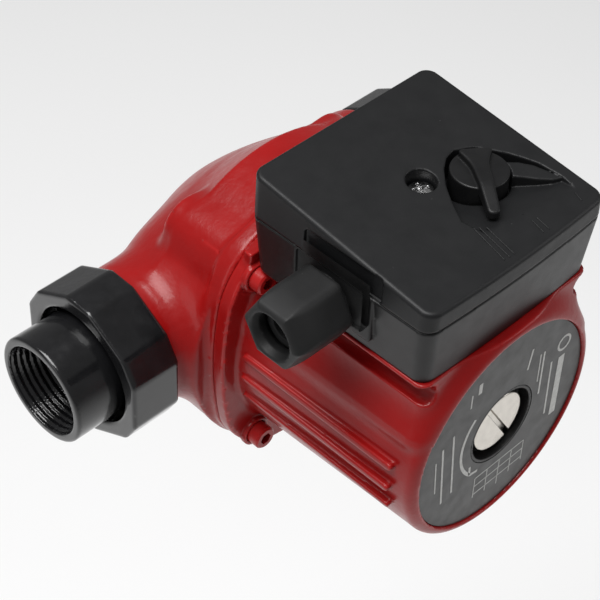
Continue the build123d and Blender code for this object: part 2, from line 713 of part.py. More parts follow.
with BuildPart() as terminal_block:
    with BuildSketch(Plane.XY.offset(FLOOR_TOP)):
        with Locations((-19, -64)):
            RectangleRounded(15, 25, 1)
    extrude(amount=11)
    with BuildSketch(Plane.XY.offset(FLOOR_TOP + 3)):
        with Locations(*TERMINALS):
            Circle(2.6)
    extrude(amount=20, mode=Mode.SUBTRACT)
    for place in TERMINALS:
        with BuildSketch(Plane(origin=(-30, place[1], FLOOR_TOP + 4.5), x_dir=(0, 1, 0), z_dir=(1, 0, 0))):
            Rectangle(4.6, 4.0)
        extrude(amount=30, mode=Mode.SUBTRACT)
save(terminal_block.part, "terminal_block")

with BuildPart() as terminal_screws:
    with BuildSketch(Plane.XY.offset(FLOOR_TOP + 3)):
        with Locations(*TERMINALS):
            Circle(2.4)
    extrude(amount=6)
    for place in TERMINALS:
        with BuildSketch(Plane.XY.offset(FLOOR_TOP + 8)):
            with Locations(place):
                Rectangle(6, 0.8)
        extrude(amount=4, mode=Mode.SUBTRACT)
save(terminal_screws.part, "terminal_screws")

with BuildPart() as capacitor:
    with BuildSketch(Plane(origin=(-4, -49, FLOOR_TOP + 8.2), x_dir=(0, 1, 0), z_dir=(1, 0, 0))):
        Circle(8.1)
    extrude(amount=37)
    fillet(capacitor.edges().filter_by(GeomType.CIRCLE), 1.2)
save(capacitor.part, "capacitor")

with BuildPart() as speed_switch:
    with BuildSketch(Plane.XY.offset(FLOOR_TOP)):
        with Locations((KNOB_X, -KNOB_FRONT)):
            RectangleRounded(24, 26, 1.5)
    extrude(amount=13)
    with BuildSketch(Plane.XY.offset(FLOOR_TOP + 13)):
        with Locations((KNOB_X, -KNOB_FRONT)):
            Circle(6)
    extrude(amount=4)
    with BuildSketch(Plane.XY.offset(FLOOR_TOP + 8)):
        with Locations((KNOB_X, -KNOB_FRONT)):
            Circle(KNOB_STEM + RUNNING_FIT)
    extrude(amount=20, mode=Mode.SUBTRACT)
save(speed_switch.part, "speed_switch")

# ---- speed knob ------------------------------------------------------------------------
with BuildPart() as speed_knob:
    knob_top = Plane(origin=(KNOB_X, -KNOB_FRONT, KNOB_TOP), x_dir=(1, 0, 0), z_dir=(0, 0, 1))
    with BuildSketch(knob_top.offset(KNOB_BASE - KNOB_TOP)):
        Circle(KNOB_RADIUS)
    extrude(amount=KNOB_TOP - KNOB_BASE)
    chamfer(speed_knob.faces().sort_by(Axis.Z)[-1].edges(), 0.4)
    with BuildSketch(knob_top.offset(FLOOR_TOP + 8.5 - KNOB_TOP)):
        Circle(KNOB_STEM)
    extrude(amount=KNOB_BASE - FLOOR_TOP - 8.5)
    pointer = knob_top.rotated((0, 0, POINTER_ANGLE))
    with BuildSketch(pointer.offset(-3.4)):
        with BuildLine():
            ThreePointArc((-7.2, -5.0), (-7.9, 0), (-7.2, 5.0))
            ThreePointArc((-7.2, 5.0), (3.0, 2.6), (KNOB_TIP - 2.2, 2.0))
            ThreePointArc((KNOB_TIP - 2.2, 2.0), (KNOB_TIP, 0), (KNOB_TIP - 2.2, -2.0))
            ThreePointArc((KNOB_TIP - 2.2, -2.0), (3.0, -2.6), (-7.2, -5.0))
        make_face()
    extrude(amount=5.8)
save(speed_knob.part, "speed_knob")

# ---- cable gland -----------------------------------------------------------------------
def beside(distance):
    """Plane across the cable, at that distance to the side of the pump, facing outward (-X)."""
    return Plane(origin=(-distance, -GLAND_FRONT, GLAND_Z), x_dir=(0, 1, 0), z_dir=(-1, 0, 0))


with BuildPart() as gland_body:
    with BuildSketch(beside(GLAND_SEAT + 0.1)):
        with Locations((-0.7, GLAND_PLATE_RISE)):
            RectangleRounded(29.5, 17.6, 2)
    extrude(amount=GLAND_FACE - GLAND_SEAT - 0.1)
    with BuildSketch(beside(GLAND_FACE)):
        Circle(GLAND_THREAD)
    extrude(amount=16.5)
    with BuildSketch(beside(GLAND_SEAT)):
        Circle(GLAND_SPIGOT)
    extrude(amount=-5)
    with BuildSketch(beside(34)):
        Circle(5.4)
    extrude(amount=40, mode=Mode.SUBTRACT)
    with BuildSketch(beside(49)):
        Circle(7.2)
    extrude(amount=20, mode=Mode.SUBTRACT)
save(gland_body.part, "gland_body")

with BuildPart() as gland_seal:
    with BuildSketch(beside(49)):
        Circle(7.1)
        Circle(CABLE_RADIUS, mode=Mode.SUBTRACT)
    extrude(amount=11)
save(gland_seal.part, "gland_seal")

with BuildPart() as gland_nut:
    with BuildSketch(beside(GLAND_FACE + 1)):
        RegularPolygon(GLAND_NUT_FLATS / 2, 6, major_radius=False)
    extrude(amount=22.3)
    with BuildSketch(beside(GLAND_FACE)):
        Circle(12.6)
    extrude(amount=23.3, mode=Mode.INTERSECT)
    with BuildSketch(beside(GLAND_FACE)):
        Circle(GLAND_THREAD + RUNNING_FIT)
    extrude(amount=18, mode=Mode.SUBTRACT)
    with BuildSketch(beside(GLAND_FACE)):
        Circle(6.7)
    extrude(amount=30, mode=Mode.SUBTRACT)
save(gland_nut.part, "gland_nut")
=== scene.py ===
"""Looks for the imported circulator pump: cast, moulded and machined surfaces round its frame.

Every shape is a distance field in millimetres, in the pump's own frame, with x along the pipe,
f in front of the pipe axis (f = -y, along the shaft) and z up. Fields are joined with the
fillets and rounded edges that casting and moulding leave, and then turned into meshes.
"""

import itertools
import json
import math

import bpy
import numpy as np
from mathutils import Matrix, Vector


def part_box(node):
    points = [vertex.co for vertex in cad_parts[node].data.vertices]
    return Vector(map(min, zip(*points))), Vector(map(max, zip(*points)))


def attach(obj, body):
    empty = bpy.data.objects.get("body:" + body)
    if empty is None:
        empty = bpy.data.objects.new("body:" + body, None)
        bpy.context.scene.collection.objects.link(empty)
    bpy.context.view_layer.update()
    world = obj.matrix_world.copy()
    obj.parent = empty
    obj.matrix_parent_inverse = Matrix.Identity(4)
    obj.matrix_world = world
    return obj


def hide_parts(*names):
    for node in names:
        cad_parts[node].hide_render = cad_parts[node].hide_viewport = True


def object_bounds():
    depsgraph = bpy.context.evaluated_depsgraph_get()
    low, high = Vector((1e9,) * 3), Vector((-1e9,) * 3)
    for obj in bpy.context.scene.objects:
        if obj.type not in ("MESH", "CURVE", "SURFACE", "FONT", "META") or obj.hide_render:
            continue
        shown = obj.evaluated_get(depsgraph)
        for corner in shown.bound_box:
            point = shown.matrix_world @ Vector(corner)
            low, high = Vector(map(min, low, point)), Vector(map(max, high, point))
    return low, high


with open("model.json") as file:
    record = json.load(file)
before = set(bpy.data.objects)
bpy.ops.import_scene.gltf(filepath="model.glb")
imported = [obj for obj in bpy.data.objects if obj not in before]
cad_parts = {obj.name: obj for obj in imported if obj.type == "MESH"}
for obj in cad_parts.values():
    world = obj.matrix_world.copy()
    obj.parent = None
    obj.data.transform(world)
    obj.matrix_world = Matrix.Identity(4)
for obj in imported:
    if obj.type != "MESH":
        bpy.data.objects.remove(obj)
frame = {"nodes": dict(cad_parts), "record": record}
CAD_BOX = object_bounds()
MM = 0.001
COARSE = 1.0


def span(node, axis):
    """Lowest and highest position of a CAD node along one axis (0 x, 1 f, 2 z), in mm."""
    low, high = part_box(node)
    if axis == 1:
        return -high[1] / MM, -low[1] / MM
    return low[axis] / MM, high[axis] / MM


# ---- distance fields -------------------------------------------------------------------
def rounded(a, b, r):
    """Both fields at once, with an outer edge of radius r where they meet."""
    return np.minimum(np.maximum(a, b) + r, 0) + np.hypot(np.maximum(a + r, 0), np.maximum(b + r, 0)) - r


def filleted(a, b, r):
    """Either field, with an inner fillet of radius r where they meet."""
    return -rounded(-a, -b, r)


def cut(a, b, r=0.3):
    """The first field without the second, with a rounded rim."""
    return rounded(a, -b, r)


def slab(w, low, high):
    """Between two planes."""
    return np.maximum(low - w, w - high)


def disc(u, v, centre, radius):
    """Inside a circle."""
    return np.hypot(u - centre[0], v - centre[1]) - radius


def rod(d, w, low, high, r=0.3):
    """An outline d pulled along w, with rounded ends."""
    return rounded(d, slab(w, low, high), r)


def rectangle(u, v, centre, half, r):
    """Rectangle of those half sizes, with corners of radius r."""
    a = np.abs(u - centre[0]) - half[0]
    b = np.abs(v - centre[1]) - half[1]
    return rounded(a, b, r)


def turned(u, v, degrees):
    """The same point seen from axes turned anticlockwise by that angle."""
    c, s = math.cos(math.radians(degrees)), math.sin(math.radians(degrees))
    return u * c + v * s, v * c - u * s


def hexagon(u, v, flats, turn, r):
    """Hexagon of that size across its flats, with corners of radius r."""
    sides = []
    for k in range(3):
        a, b = turned(u, v, turn + 60 * k)
        sides.append(np.abs(b) - flats / 2)
    return rounded(rounded(sides[0], sides[1], r), sides[2], r)


def segment(u, v, start, end, width):
    """A bar of that width with round ends."""
    du, dv = end[0] - start[0], end[1] - start[1]
    t = np.clip(((u - start[0]) * du + (v - start[1]) * dv) / (du * du + dv * dv), 0, 1)
    return np.hypot(u - start[0] - t * du, v - start[1] - t * dv) - width / 2


def outline(u, v, points):
    """Signed distance to a closed polygon."""
    best = np.full(u.shape, 1e9)
    sign = np.ones(u.shape)
    for (ax, ay), (bx, by) in zip(points, points[1:] + points[:1]):
        ex, ey, wx, wy = bx - ax, by - ay, u - ax, v - ay
        t = np.clip((wx * ex + wy * ey) / (ex * ex + ey * ey), 0, 1)
        best = np.minimum(best, (wx - ex * t) ** 2 + (wy - ey * t) ** 2)
        above = v >= ay
        below = v < by
        left = ex * wy > ey * wx
        flip = (above & below & left) | (~above & ~below & ~left)
        sign = np.where(flip, -sign, sign)
    return sign * np.sqrt(best)


def eased(w, points):
    """A smooth curve through (position, height) points."""
    xs = np.array([p[0] for p in points], float)
    ys = np.array([p[1] for p in points], float)
    slopes = np.gradient(ys, xs)
    k = np.clip(np.searchsorted(xs, w) - 1, 0, len(xs) - 2)
    h = xs[k + 1] - xs[k]
    t = np.clip((w - xs[k]) / h, 0, 1)
    return (
        (2 * t**3 - 3 * t**2 + 1) * ys[k] + (t**3 - 2 * t**2 + t) * h * slopes[k]
        + (3 * t**2 - 2 * t**3) * ys[k + 1] + (t**3 - t**2) * h * slopes[k + 1]
    )


# ---- from a field to a mesh ------------------------------------------------------------
def surface_net(field, low, high, step):
    """Vertices and quads of the field's zero surface inside a box, by surface nets."""
    low = np.array(low, float) - 1.37 * step
    high = np.array(high, float) + 1.61 * step
    axes = [np.arange(low[i], high[i] + step, step) for i in range(3)]
    value = np.empty([len(a) for a in axes], np.float32)
    for i, x in enumerate(axes[0]):
        f, z = np.meshgrid(axes[1], axes[2], indexing="ij")
        value[i] = field(np.full(f.shape, x), f, z)
    inside = value < 0
    n = np.array(inside.shape) - 1
    filled = np.zeros(n, np.int8)
    for i, j, k in itertools.product((0, 1), repeat=3):
        filled += inside[i:n[0] + i, j:n[1] + j, k:n[2] + k]
    active = (filled > 0) & (filled < 8)
    number = np.full(n, -1, np.int64)
    number[active] = np.arange(active.sum())
    cells = np.argwhere(active)
    points = np.column_stack([axes[a][cells[:, a]] + step / 2 for a in range(3)])
    points = settle(field, points, step)
    quads = []
    for a in range(3):
        b, c = (a + 1) % 3, (a + 2) % 3
        first = np.take(inside, range(0, inside.shape[a] - 1), a)
        second = np.take(inside, range(1, inside.shape[a]), a)
        at = np.argwhere(first != second)
        at = at[(at[:, b] > 0) & (at[:, c] > 0) & (at[:, b] < n[b]) & (at[:, c] < n[c])]
        outward = first[tuple(at.T)]
        around = []
        for db, dc in ((-1, -1), (0, -1), (0, 0), (-1, 0)):
            cell = at.copy()
            cell[:, b] += db
            cell[:, c] += dc
            around.append(number[tuple(cell.T)])
        quad = np.column_stack(around)
        quad[~outward] = quad[~outward][:, ::-1]
        quads.append(quad)
    return points, np.concatenate(quads)


def settle(field, points, step):
    """Moves each vertex on to the surface, at most a cell away from where it began."""
    start = points.copy()
    e = step * 0.05
    for _ in range(6):
        x, f, z = points.T
        value = field(x, f, z)
        slope = np.column_stack([
            field(x + e, f, z) - field(x - e, f, z),
            field(x, f + e, z) - field(x, f - e, z),
            field(x, f, z + e) - field(x, f, z - e),
        ]) / (2 * e)
        size = np.maximum((slope ** 2).sum(1), 0.05)
        points = points - slope * (value / size)[:, None]
        points = start + np.clip(points - start, -step * 0.75, step * 0.75)
    return points


def carve(name, field, low, high, step, body, material, replaces=()):
    """Builds one piece from its field, in the pump's frame, riding on a body."""
    points, quads = surface_net(field, low, high, step * COARSE)
    points = points * MM
    points[:, 1] *= -1
    mesh = bpy.data.meshes.new(name)
    mesh.from_pydata(points.tolist(), [], quads[:, ::-1].tolist())
    mesh.update()
    mesh.polygons.foreach_set("use_smooth", [True] * len(mesh.polygons))
    mesh.materials.append(material)
    piece = bpy.data.objects.new(name, mesh)
    bpy.context.scene.collection.objects.link(piece)
    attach(piece, body)
    if replaces:
        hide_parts(*replaces)
    return piece


# ---- materials -------------------------------------------------------------------------
class Surface:
    """A Principled material whose colour, roughness and relief come from noise nodes."""

    def __init__(self, name, roughness, metallic=0.0, coat=0.0, coat_roughness=0.1, specular=0.5):
        self.material = bpy.data.materials.new(name)
        self.material.use_nodes = True
        self.tree = self.material.node_tree
        self.shader = self.tree.nodes["Principled BSDF"]
        self.shader.inputs["Roughness"].default_value = roughness
        self.shader.inputs["Metallic"].default_value = metallic
        self.shader.inputs["Coat Weight"].default_value = coat
        self.shader.inputs["Coat Roughness"].default_value = coat_roughness
        self.shader.inputs["Specular IOR Level"].default_value = specular
        self.place = self.tree.nodes.new("ShaderNodeTexCoord").outputs["Object"]
        self.bump = None

    def noise(self, size_mm, detail=3.0, rough=0.5, stretch=None, seed=0.0):
        """Noise whose features are about that many millimetres across."""
        place = self.place
        if stretch or seed:
            mapping = self.tree.nodes.new("ShaderNodeMapping")
            mapping.inputs["Scale"].default_value = stretch or (1, 1, 1)
            mapping.inputs["Location"].default_value = (seed, seed, seed)
            self.tree.links.new(place, mapping.inputs["Vector"])
            place = mapping.outputs["Vector"]
        node = self.tree.nodes.new("ShaderNodeTexNoise")
        node.inputs["Scale"].default_value = 1 / (size_mm * MM)
        node.inputs["Detail"].default_value = detail
        node.inputs["Roughness"].default_value = rough
        self.tree.links.new(place, node.inputs["Vector"])
        return node.outputs["Fac"]

    def cells(self, size_mm):
        """Distance to scattered points about that far apart."""
        node = self.tree.nodes.new("ShaderNodeTexVoronoi")
        node.inputs["Scale"].default_value = 1 / (size_mm * MM)
        self.tree.links.new(self.place, node.inputs["Vector"])
        return node.outputs["Distance"]

    def ramp(self, value, *stops):
        """A colour or grey ramp through (position, colour) stops."""
        node = self.tree.nodes.new("ShaderNodeValToRGB")
        while len(node.color_ramp.elements) < len(stops):
            node.color_ramp.elements.new(0.5)
        for element, (position, colour) in zip(node.color_ramp.elements, stops):
            element.position = position
            element.color = (*colour, 1) if isinstance(colour, tuple) else (colour, colour, colour, 1)
        self.tree.links.new(value, node.inputs["Fac"])
        return node.outputs["Color"]

    def mix(self, factor, a, b):
        """The colour a where the factor is 0, and b where it is 1."""
        node = self.tree.nodes.new("ShaderNodeMix")
        node.data_type = "RGBA"
        for socket, value in ((node.inputs[0], factor), (node.inputs[6], a), (node.inputs[7], b)):
            if isinstance(value, bpy.types.NodeSocket):
                self.tree.links.new(value, socket)
            elif isinstance(value, tuple):
                socket.default_value = (*value, 1)
            else:
                socket.default_value = value
        return node.outputs[2]

    def colour(self, value):
        self.tree.links.new(value, self.shader.inputs["Base Color"])

    def roughness(self, value):
        self.tree.links.new(value, self.shader.inputs["Roughness"])

    def relief(self, value, depth_mm, strength=1.0):
        """Adds one layer of bump on top of those already there."""
        node = self.tree.nodes.new("ShaderNodeBump")
        node.inputs["Distance"].default_value = depth_mm * MM
        node.inputs["Strength"].default_value = strength
        self.tree.links.new(value, node.inputs["Height"])
        if self.bump:
            self.tree.links.new(self.bump, node.inputs["Normal"])
        self.bump = node.outputs["Normal"]
        self.tree.links.new(self.bump, self.shader.inputs["Normal"])

    def edges(self):
        """High on outer edges and low in corners."""
        return self.tree.nodes.new("ShaderNodeNewGeometry").outputs["Pointiness"]


def red_paint(name, peel_mm, peel_depth):
    """Gloss red over cast metal: orange peel, paler where an edge shows through."""
    paint = Surface(name, 0.34, coat=0.22, coat_roughness=0.14, specular=0.22)
    tone = paint.ramp(paint.noise(22, 3), (0.3, (0.25, 0.004, 0.004)), (0.7, (0.31, 0.006, 0.006)))
    worn = paint.ramp(paint.edges(), (0.51, 0.0), (0.58, 1.0))
    paint.colour(paint.mix(worn, tone, (0.38, 0.012, 0.012)))
    paint.roughness(paint.ramp(paint.noise(4, 4), (0.3, 0.28), (0.7, 0.38)))
    paint.relief(paint.noise(peel_mm, 2), peel_depth)
    paint.relief(paint.noise(0.9, 3), 0.03)
    return paint.material


def black_gloss(name):
    """Thick black coat on the unions."""
    coat = Surface(name, 0.2, coat=0.4, coat_roughness=0.06, specular=0.4)
    tone = coat.ramp(coat.noise(9, 4), (0.3, (0.005, 0.005, 0.0055)), (0.7, (0.010, 0.010, 0.011)))
    worn = coat.ramp(coat.edges(), (0.54, 0.0), (0.62, 1.0))
    coat.colour(coat.mix(worn, tone, (0.05, 0.05, 0.05)))
    coat.roughness(coat.ramp(coat.noise(3, 4), (0.3, 0.14), (0.75, 0.28)))
    coat.relief(coat.noise(6, 2), 0.05)
    coat.relief(coat.noise(0.8, 3), 0.008)
    return coat.material


def plastic(name, dark, light, rough_low, rough_high, dust=True):
    """Moulded plastic with a fine spark-eroded grain and a few specks of dust."""
    mould = Surface(name, 0.45, specular=0.28)
    tone = mould.ramp(mould.noise(14, 4), (0.3, dark), (0.7, light))
    if dust:
        specks = mould.ramp(mould.cells(3.1), (0.0, 1.0), (0.035, 0.0))
        some = mould.ramp(mould.noise(2.6, 0, seed=3.0), (0.56, 0.0), (0.60, 1.0))
        tone = mould.mix(mould.mix(some, (0, 0, 0), specks), tone, (0.30, 0.30, 0.30))
    mould.colour(tone)
    mould.roughness(mould.ramp(mould.noise(6, 5, 0.6), (0.3, rough_low), (0.7, rough_high)))
    mould.relief(mould.noise(0.35, 2), 0.02)
    mould.relief(mould.noise(0.12, 1), 0.008)
    return mould.material


def machined(name, base, low, high, stretch, depth=0.01):
    """Bare or plated metal, with fine marks drawn out along any axis whose stretch is small."""
    metal = Surface(name, 0.3, metallic=1.0)
    darker = tuple(c * 0.86 for c in base)
    metal.colour(metal.ramp(metal.noise(3, 4), (0.3, darker), (0.7, base)))
    metal.roughness(metal.ramp(metal.noise(0.6, 3, stretch=stretch), (0.3, low), (0.7, high)))
    metal.relief(metal.noise(0.35, 2, stretch=stretch), depth)
    return metal.material


def rubber(name):
    """Dull black rubber."""
    soft = Surface(name, 0.75)
    soft.colour(soft.ramp(soft.noise(4, 3), (0.3, (0.012, 0.012, 0.012)), (0.7, (0.024, 0.024, 0.025))))
    soft.relief(soft.noise(0.4, 3), 0.03)
    return soft.material


def plate_foil(name):
    """The nameplate's dark foil, not quite flat."""
    foil = Surface(name, 0.36)
    foil.colour(foil.ramp(foil.noise(12, 4), (0.3, (0.018, 0.018, 0.0175)), (0.7, (0.022, 0.022, 0.021))))
    foil.roughness(foil.ramp(foil.noise(5, 4), (0.3, 0.30), (0.7, 0.44)))
    foil.relief(foil.noise(7, 2), 0.05)
    foil.relief(foil.noise(0.25, 2), 0.004)
    return foil.material


ALONG_F = (1, 0.05, 1)
ALL_WAYS = (1, 1, 1)
LOOKS = {
    "volute_red": red_paint("volute_red", 3.4, 0.16),
    "motor_red": red_paint("motor_red", 2.6, 0.09),
    "union_black": black_gloss("union_black"),
    "box_plastic": plastic("box_plastic", (0.007, 0.007, 0.0073), (0.009, 0.009, 0.0093), 0.32, 0.40),
    "lid_plastic": plastic("lid_plastic", (0.008, 0.0082, 0.0088), (0.010, 0.0102, 0.0108), 0.40, 0.48),
    "knob_plastic": plastic("knob_plastic", (0.006, 0.006, 0.0064), (0.009, 0.009, 0.0094), 0.34, 0.44),
    "gland_plastic": plastic("gland_plastic", (0.009, 0.009, 0.0092), (0.014, 0.014, 0.0142), 0.46, 0.60),
    "nameplate": plate_foil("nameplate"),
    "vent_nickel": machined("vent_nickel", (0.70, 0.66, 0.60), 0.18, 0.26, ALL_WAYS, 0.002),
    "screw_steel": machined("screw_steel", (0.50, 0.50, 0.52), 0.25, 0.45, ALL_WAYS),
    "lid_screw_zinc": machined("lid_screw_zinc", (0.62, 0.62, 0.62), 0.10, 0.24, ALL_WAYS),
    "rubber": rubber("rubber"),
    "stack_steel": machined("stack_steel", (0.42, 0.42, 0.44), 0.35, 0.55, (1, 8, 1), 0.03),
    "winding_copper": machined("winding_copper", (0.75, 0.34, 0.14), 0.25, 0.45, (8, 1, 8), 0.05),
    "can_steel": machined("can_steel", (0.62, 0.62, 0.63), 0.18, 0.32, ALONG_F),
    "ceramic": plastic("ceramic", (0.70, 0.68, 0.64), (0.82, 0.80, 0.77), 0.2, 0.35, dust=False),
    "rotor_steel": machined("rotor_steel", (0.56, 0.56, 0.58), 0.22, 0.40, ALONG_F),
    "impeller_plastic": plastic(
        "impeller_plastic", (0.10, 0.085, 0.06), (0.14, 0.12, 0.09), 0.4, 0.55, dust=False,
    ),
    "brass": machined("brass", (0.78, 0.58, 0.26), 0.2, 0.35, ALL_WAYS),
    "terminal_plastic": plastic(
        "terminal_plastic", (0.62, 0.61, 0.57), (0.72, 0.71, 0.67), 0.35, 0.5, dust=False,
    ),
    "capacitor_plastic": plastic(
        "capacitor_plastic", (0.68, 0.68, 0.66), (0.76, 0.76, 0.74), 0.25, 0.4, dust=False,
    ),
}

for part in frame["record"]["subparts"]:
    node = frame["nodes"][part["node"]]
    node.data.materials.clear()
    node.data.materials.append(LOOKS[part["material_slot"]])

# ---- main sizes, from the frame, in mm -------------------------------------------------
MOTOR_BACK, MOTOR_FRONT = span("motor_housing", 1)
FLANGE_HALF = span("motor_housing", 0)[1]
FLANGE_THICK = 5.0
FLANGE_CORNER = 42.5
BODY_BACK, BODY_FRONT = 44.2, 42.6      # radii of the motor body behind and in front
RIM = 6.5                               # length of its rounded front rim
PLATE_BACK, PLATE_FACE = span("nameplate", 1)
PLATE_RADIUS = span("nameplate", 0)[1]
BOX_FLOOR, BOX_SEAM = span("terminal_box", 2)[0], span("terminal_box_lid", 2)[0]
BOX_HALF = span("terminal_box_lid", 0)[1]
LID_TOP = span("terminal_box_lid", 2)[1]
SCREWS = 36.0                           # flange screws, from the shaft both ways
FLANGE_SEAT = MOTOR_BACK + FLANGE_THICK
BOWL_DROP, BOWL_RADIUS = 3.0, 54.6
WATERWAY = 13.0                         # radius of the bores through ports and tails
PORT_END, PORT_RADIUS = 65.0, 23.9
CHAMBER, PLATE_SEAT, EYE = 41.5, 44.0, 13.6     # radii round the impeller
CAVITY, CAVITY_FRONT = 39.0, 104.0      # inside of the motor housing
VENT_WELL, VENT_SEAT = 14.7, 104.6
VENT_HEAD, VENT_SHANK = 11.1, 8.9
PLUG_HOLE = ((0, 90), (7.5, 3), 2.9)    # wires pass from the motor to the box: centre, half size, corner


# ---- pump housing ----------------------------------------------------------------------
PIPE_BODY = (       # position along the pipe, radius
    (-66, 23.7), (-46, 24.0), (-36, 27.2), (-15, 28.8),
    (10, 30.0), (28, 30.2), (57, 28.4), (66, 28.4),
)
BOWL = [            # position along the shaft, radius
    (26, 0), (26, BOWL_RADIUS - 0.2), (3.5, BOWL_RADIUS - 0.6), (-14, 38), (-27, 24), (-27, 0),
]
LUG, LUG_RADIUS, LUG_BACK = 31.0, 10.8, -3.0


def flange(x, z):
    """The housings' shared outline: a square with bulging sides and round corners."""
    bulge = FLANGE_HALF - FLANGE_CORNER
    radius = (FLANGE_CORNER ** 2 + bulge ** 2) / (2 * bulge)
    offset = radius - FLANGE_HALF
    a = np.hypot(np.abs(x) + offset, z) - radius
    b = np.hypot(x, np.abs(z) + offset) - radius
    return rounded(a, b, 14)


def pump_housing(x, f, z):
    """Bowl, pipe body, ports, flange and screw lugs, hollowed for the impeller and the water."""
    bowl = outline(f, np.hypot(x, z + BOWL_DROP), BOWL)
    bowl = rounded(bowl, slab(f, -40, 28), 1.0)
    radius = eased(x, PIPE_BODY)
    pipe = (np.hypot(f, z) - radius) * 0.97
    pipe = rounded(pipe, np.abs(x) - 57, 1.5)
    port = rod(disc(f, z, (0, 0), PORT_RADIUS), x, -PORT_END, PORT_END, 0.8)
    body = filleted(bowl, pipe, 10.0)
    body = filleted(body, port, 1.5)
    collar = rod(flange(x, z), f, 24, MOTOR_BACK, 0.8)
    body = filleted(body, collar, 2.5)
    ax, az = np.abs(x), np.abs(z)
    lugs = rod(disc(ax, az, (LUG, LUG), LUG_RADIUS), f, LUG_BACK, MOTOR_BACK - 1, 1.5)
    body = filleted(body, lugs, 4.0)
    body = rounded(body, f - MOTOR_BACK, 0.7)
    body = cut(body, rod(disc(x, z, (0, 0), CHAMBER), f, 11, 40))
    body = cut(body, rod(disc(x, z, (0, 0), PLATE_SEAT), f, 25.5, 40))
    body = cut(body, np.maximum(disc(ax, az, (SCREWS, SCREWS), 3.1), 14 - f), 0.1)
    body = cut(body, rod(disc(f, z, (0, 0), WATERWAY), x, -80, -20))
    body = cut(body, rod(disc(f, z, (0, 0), WATERWAY), x, 42, 80))
    body = cut(body, rod(disc(x, z, (0, 0), EYE), f, -20, 12))
    return cut(body, rod(np.hypot(f + 8, z) - 12, x, -34, 0))


carve(
    "volute_casting", pump_housing, (-PORT_END, -33, -59), (PORT_END, MOTOR_BACK, 52), 0.9,
    "pump", LOOKS["volute_red"], ("pump_housing",),
)


# ---- motor housing ---------------------------------------------------------------------
def motor_housing(x, f, z):
    """Drafted cylinder with its flange, ribs and the saddle that carries the terminal box."""
    around = np.hypot(x, z)
    draft = (f - MOTOR_BACK) / (MOTOR_FRONT - RIM - MOTOR_BACK)
    radius = BODY_BACK + (BODY_FRONT - BODY_BACK) * np.clip(draft, 0, 1)
    shell = rounded(around - radius, slab(f, MOTOR_BACK, MOTOR_FRONT), 3.6)
    collar = rod(flange(x, z), f, MOTOR_BACK, FLANGE_SEAT, 0.8)
    # the saddle: straight band under the box, then a hollow flare down to the cylinder
    ax, az = np.abs(x), np.abs(z)
    waist = eased(z, ((20, 39.0), (24, 37.4), (30, 36.4), (36, 36.8), (40, 37.9), (44, 38.0)))
    saddle = rounded((ax - waist) * 0.95, slab(z, 18, BOX_FLOOR + 4), 0.2)
    saddle = rod(saddle, f, MOTOR_BACK, 107.2, 3.5)
    body = filleted(shell, saddle, 5.5)
    body = filleted(body, collar, 1.6)
    for turn in (10.0, -1.5, -13.0):
        out, side = turned(ax, z, turn)
        rib = rounded(segment(f, side, (39.4, 0), (101.7, 0), 2.4), slab(out, 38, 45.2), 0.4)
        body = filleted(body, rib, 0.4)
    body = cut(body, np.maximum(BOX_FLOOR - z, FLANGE_SEAT + 0.1 - f), 0.5)
    # room for the upper screws, then a raised seat round all four heads
    heads = np.maximum(disc(ax, z, (SCREWS, SCREWS), 6.2), FLANGE_SEAT - f)
    body = cut(body, rounded(heads, f - 50, 3), 0.4)
    raised = rod(disc(ax, az, (SCREWS, SCREWS), 5.6), f, FLANGE_SEAT - 1, FLANGE_SEAT + 1.5, 0.5)
    body = filleted(body, rounded(raised, z - BOX_FLOOR + 0.4, 0.3), 0.4)
    body = cut(body, np.maximum(disc(ax, az, (SCREWS, SCREWS), 4.35), FLANGE_SEAT + 0.05 - f), 0.2)
    body = cut(body, rod(around - CAVITY, f, MOTOR_BACK - 5, CAVITY_FRONT))
    boss = rod(around - 14, f, 98, 105)
    body = filleted(body, boss, 0.5)
    body = cut(body, np.maximum(around - PLATE_RADIUS - 0.3, PLATE_BACK - f), 0.3)
    body = cut(body, rod(around - VENT_WELL, f, VENT_SEAT, 120), 0.4)
    body = cut(body, np.maximum(around - 9.0, 96 - f), 0.2)
    body = cut(body, disc(ax, az, (SCREWS, SCREWS), 3.3) + np.maximum(f - 40, 0), 0.2)
    return cut(body, rounded(rectangle(x, f, *PLUG_HOLE), 30 - z, 0.1), 0.2)


carve(
    "motor_casting", motor_housing, (-51, MOTOR_BACK, -51), (51, MOTOR_FRONT, 51), 0.65,
    "pump", LOOKS["motor_red"], ("motor_housing",),
)


# ---- unions ----------------------------------------------------------------------------
NUT_FLATS, NUT_CORNERS = 52.6, 54.8
NUT_BACK, NUT_FRONT = 61.0, 80.0
NUT_TURN = {"inlet": 31.5, "outlet": 30.0}      # how each nut happens to stand, in degrees
NUT_BORE, NUT_LIP = 24.0, 72.1
TAIL_RADIUS, TAIL_FLANGE, THREAD_LENGTH = 19.2, 22.2, 17.0
THREAD_PITCH = 2.309


def union_nut(side, turn):
    """Field of a hexagon nut with cut corners, on the side -1 (inlet) or 1 (outlet)."""
    def field(x, f, z):
        along = side * x
        across = hexagon(-f, z, NUT_FLATS, turn, 0.6)
        across = rounded(across, hexagon(-f, z, NUT_CORNERS, turn + 30, 0.6), 0.6)
        nut = rod(across, along, NUT_BACK, NUT_FRONT, 1.0)
        nut = cut(nut, rod(disc(f, z, (0, 0), NUT_BORE), along, 50, NUT_LIP), 0.4)
        return cut(nut, disc(f, z, (0, 0), 21.2), 1.2)
    return field


